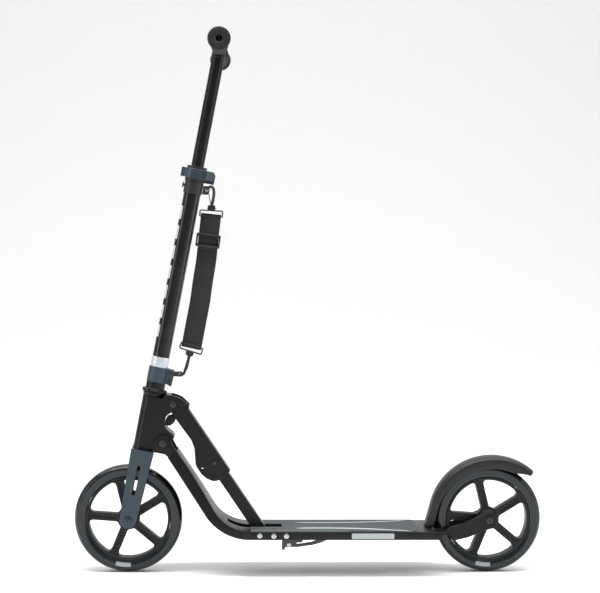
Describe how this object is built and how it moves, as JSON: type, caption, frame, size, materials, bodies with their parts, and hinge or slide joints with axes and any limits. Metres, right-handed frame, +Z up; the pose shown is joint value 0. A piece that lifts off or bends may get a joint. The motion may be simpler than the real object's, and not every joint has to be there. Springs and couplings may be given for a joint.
{
  "type": "kick scooter",
  "caption": "Folding kick scooter with a flat deck, solid wheels, telescoping handlebar, folding strut, rear fender brake, kickstand and carrying strap.",
  "frame": {"origin": "on the ground, midway between the two wheel axles, in the scooter's middle plane", "axes": "+X towards the rear wheel, so the scooter rides along -X; +Y towards the rider's right; +Z up"},
  "size_m": [0.891, 0.38, 1.0091],
  "materials": {
    "black_alloy": "satin",
    "black_painted_steel": "satin",
    "slate_painted_steel": "satin",
    "slate_alloy": "satin",
    "black_plastic": "matte",
    "fender_plastic": "satin",
    "rim_plastic": "satin",
    "tyre_polyurethane": "gloss",
    "grip_rubber": "matte",
    "bumper_rubber": "matte",
    "black_steel": "satin",
    "bright_steel": "satin",
    "deck_grip_tape": "matte",
    "reflector": "gloss",
    "reflective_band": "satin",
    "strap_webbing": "matte"
  },
  "bodies": {
    "root": {"deck": "black_alloy", "grip_tape": "deck_grip_tape", "strut_pivot_bolt": "bright_steel", "tie_bolt_front": "bright_steel", "tie_bolt_rear": "bright_steel", "fold_bolt": "black_steel", "reflector_left": "reflector", "reflector_right": "reflector", "dropout_left": "black_painted_steel", "dropout_right": "black_painted_steel", "rear_axle_bolt": "black_steel", "fender_bracket": "black_steel", "fender_pin": "bright_steel", "kickstand_bracket": "black_steel", "kickstand_pivot": "bright_steel"},
    "rear_wheel": {"rear_tyre": "tyre_polyurethane", "rear_rim": "rim_plastic", "rear_bearing_left": "bright_steel", "rear_bearing_right": "bright_steel"},
    "front_wheel": {"front_tyre": "tyre_polyurethane", "front_rim": "rim_plastic", "front_bearing_left": "bright_steel", "front_bearing_right": "bright_steel"},
    "fender": {"fender": "fender_plastic", "brake_pad": "bumper_rubber"},
    "kickstand": {"kickstand_leg": "black_steel"},
    "strut_lower": {"strut_tube": "black_painted_steel"},
    "strut_upper": {"strut_sleeve": "black_painted_steel"},
    "latch": {"latch_pin": "black_steel"},
    "head": {"head_casting": "black_alloy", "upper_cup": "black_alloy", "lower_cup": "black_alloy", "strut_bolt_left": "black_steel", "strut_bolt_right": "black_steel", "fold_bumper": "bumper_rubber"},
    "steering": {"fork": "slate_painted_steel", "front_axle_bolt": "black_steel", "headset_nut": "black_alloy", "column_tube": "black_alloy", "clamp_collar": "slate_alloy", "clamp_bolt_upper": "black_steel", "clamp_bolt_lower": "black_steel", "reflective_band": "reflective_band", "tube_sleeve": "black_plastic", "strap_eyelet": "slate_alloy", "quick_collar": "black_plastic", "quick_pin": "black_steel", "strap_webbing": "strap_webbing", "strap_slider": "black_plastic", "upper_strap_loop": "black_plastic", "lower_strap_loop": "black_plastic", "upper_snap_hook": "black_plastic", "lower_snap_hook": "black_plastic", "strap_ring": "black_steel"},
    "handlebar": {"handlebar": "black_alloy", "grip_left": "grip_rubber", "grip_right": "grip_rubber"},
    "quick_lever": {"quick_lever": "slate_alloy"},
    "height_button": {"height_button": "black_plastic"}
  },
  "joints": [
    {"name": "fold_hinge", "type": "hinge", "parent": "root", "child": "head", "pos_m": [-0.2777, 0, 0.2484], "axis": [0, 1, 0], "range_deg": [0, 79.5]},
    {"name": "strut_swing", "type": "hinge", "parent": "root", "child": "strut_lower", "pos_m": [-0.0947, 0, 0.0797], "axis": [0, 1, 0], "range_deg": [0, 1.2]},
    {"name": "strut_top_hinge", "type": "hinge", "parent": "head", "child": "strut_upper", "pos_m": [-0.2597, 0, 0.3216], "axis": [0, 1, 0], "range_deg": [-79, 0]},
    {"name": "latch_slide", "type": "slide", "parent": "strut_upper", "child": "latch", "axis": [0, -1, 0], "range_m": [0, 0.004], "stiffness_N_per_m": 300, "springref_m": -0.01},
    {"name": "steering_hinge", "type": "hinge", "parent": "head", "child": "steering", "pos_m": [-0.34, 0, 0.1025], "axis": [0.1822, 0, 0.9833], "continuous": true},
    {"name": "front_wheel_spin", "type": "hinge", "parent": "steering", "child": "front_wheel", "pos_m": [-0.343, 0, 0.1025], "axis": [0, 1, 0], "continuous": true},
    {"name": "rear_wheel_spin", "type": "hinge", "parent": "root", "child": "rear_wheel", "pos_m": [0.343, 0, 0.1025], "axis": [0, 1, 0], "continuous": true},
    {"name": "handlebar_slide", "type": "slide", "parent": "steering", "child": "handlebar", "axis": [0.1822, 0, 0.9833], "range_m": [-0.2, 0.03]},
    {"name": "quick_lever_hinge", "type": "hinge", "parent": "steering", "child": "quick_lever", "pos_m": [-0.18901, -0.004, 0.74982], "axis": [0.1822, 0, 0.9833], "range_deg": [0, 105]},
    {"name": "height_button_slide", "type": "slide", "parent": "steering", "child": "height_button", "axis": [0.9833, 0, -0.1822], "range_m": [0, 0.0012], "stiffness_N_per_m": 300, "springref_m": -0.005},
    {"name": "kickstand_hinge", "type": "hinge", "parent": "root", "child": "kickstand", "pos_m": [-0.039, -0.027, 0.058], "axis": [0, 1, 0], "range_deg": [0, 55]},
    {"name": "fender_brake", "type": "hinge", "parent": "root", "child": "fender", "pos_m": [0.232, 0, 0.0962], "axis": [0, 1, 0], "range_deg": [0, 4], "stiffness_Nm_per_rad": 4, "springref_deg": -8.59}
  ],
  "couplings": [
    {"joint": "strut_swing", "follows": "fold_hinge", "ratio": 0.01321},
    {"joint": "strut_top_hinge", "follows": "fold_hinge", "ratio": -0.98679}
  ]
}
